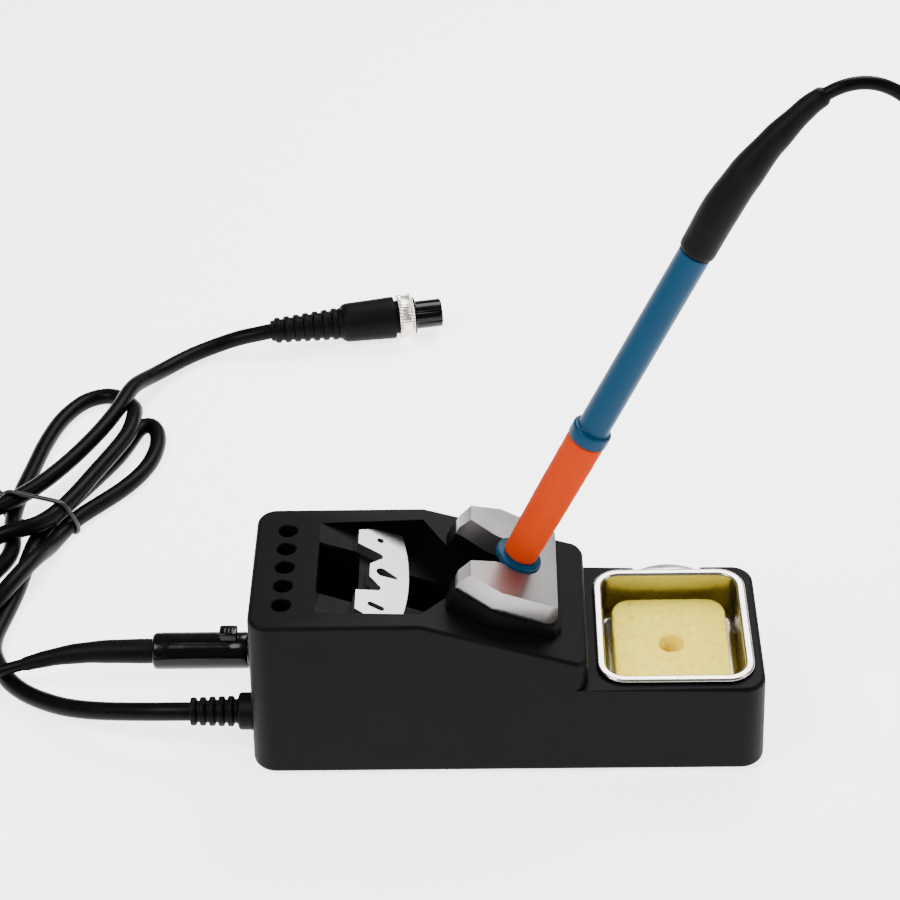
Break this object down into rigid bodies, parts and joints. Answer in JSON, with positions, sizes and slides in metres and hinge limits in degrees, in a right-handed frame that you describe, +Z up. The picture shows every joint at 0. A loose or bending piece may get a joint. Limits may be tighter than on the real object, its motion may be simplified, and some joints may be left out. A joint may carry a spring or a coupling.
{
  "type": "soldering iron station",
  "caption": "Soldering iron stand with cartridge rack, tip changer, sponge tray and a seated slim iron, its lead plugged into the stand and a coiled output lead ending in a round connector.",
  "frame": {"origin": "centre of the stand's footprint, on the bench", "axes": "+X towards the sponge tray, -X the cartridge rack and connectors, -Y the front, +Z up"},
  "size_m": [0.371, 0.3837, 0.235],
  "materials": {
    "black_plastic": "fine moulded texture",
    "grey_plastic": "plain moulded",
    "steel_plate": "zinc plated",
    "satin_zinc": "satin",
    "stainless_sheet": "pressed sheet",
    "tip_plating": "tinned",
    "nickel": "satin nickel",
    "gold_contact": "plated",
    "brass": "plain",
    "black_rubber": "matt",
    "lead_jacket": "soft satin",
    "tie_wire": "plain",
    "wire_cover": "plain",
    "gloss_black": "gloss",
    "blue_plastic": "satin gloss",
    "orange_foam": "soft foam",
    "sponge": "open cell"
  },
  "bodies": {
    "stand": {"housing": "black_plastic", "base_plate": "steel_plate", "base_screws": "steel_plate", "rubber_feet": "black_rubber", "cartridge_rack": "black_plastic", "rack_floor": "black_plastic", "recess_insert": "black_plastic", "tip_changer": "satin_zinc", "changer_screws": "steel_plate", "rest_plinth": "black_plastic", "iron_rest": "satin_zinc", "rest_screws": "steel_plate", "sense_lug": "brass", "sense_lead": "wire_cover", "handle_socket": "gloss_black", "socket_nut": "nickel", "socket_insert": "grey_plastic", "inner_wiring": "wire_cover", "output_gland": "black_rubber", "cable_clamp": "grey_plastic", "handle_lead": "lead_jacket", "lead_coil": "lead_jacket", "handle_lead_end": "lead_jacket", "output_lead": "lead_jacket", "lead_hank": "lead_jacket", "hank_tie": "tie_wire", "output_tail": "lead_jacket", "connector_boot": "black_rubber", "connector_shell": "gloss_black", "connector_barrel": "gloss_black", "connector_pins": "gold_contact"},
    "tray": {"sponge_tray": "stainless_sheet"},
    "wiping_sponge": {"sponge": "sponge"},
    "iron": {"iron_core": "blue_plastic", "foam_grip": "orange_foam", "handle_tube": "blue_plastic", "contact_socket": "brass", "strain_relief": "black_rubber"},
    "cartridge": {"cartridge_shaft": "stainless_sheet", "heater_sleeve": "stainless_sheet", "iron_tip": "tip_plating"},
    "plug": {"plug_shell": "gloss_black", "plug_barrel": "nickel", "plug_pins": "gold_contact", "plug_boot": "black_rubber"},
    "latch": {"plug_latch": "gloss_black"},
    "ring": {"coupling_ring": "nickel"}
  },
  "joints": [
    {"name": "tray_lift", "type": "slide", "parent": "stand", "child": "tray", "axis": [0, 0, 1], "range_m": [0, 0.03]},
    {"name": "sponge_lift", "type": "slide", "parent": "tray", "child": "wiping_sponge", "axis": [0, 0, 1], "range_m": [0, 0.02]},
    {"name": "iron_lift", "type": "slide", "parent": "stand", "child": "iron", "axis": [0.4195, 0, 0.9078], "range_m": [0, 0.06], "deforming": ["handle_lead"]},
    {"name": "cartridge_pull", "type": "slide", "parent": "iron", "child": "cartridge", "axis": [-0.4195, 0, -0.9078], "range_m": [0, 0.01]},
    {"name": "plug_pull", "type": "slide", "parent": "stand", "child": "plug", "axis": [-1, 0, 0], "range_m": [0, 0.012], "deforming": ["handle_lead_end"]},
    {"name": "latch_press", "type": "slide", "parent": "plug", "child": "latch", "axis": [0, 0, -1], "range_m": [0, 0.0008], "stiffness_N_per_m": 300, "springref_m": -0.0003},
    {"name": "ring_turn", "type": "hinge", "parent": "stand", "child": "ring", "pos_m": [-0.0391, 0.2235, 0.009], "axis": [0.9842, 0.1771, 0], "continuous": true}
  ]
}
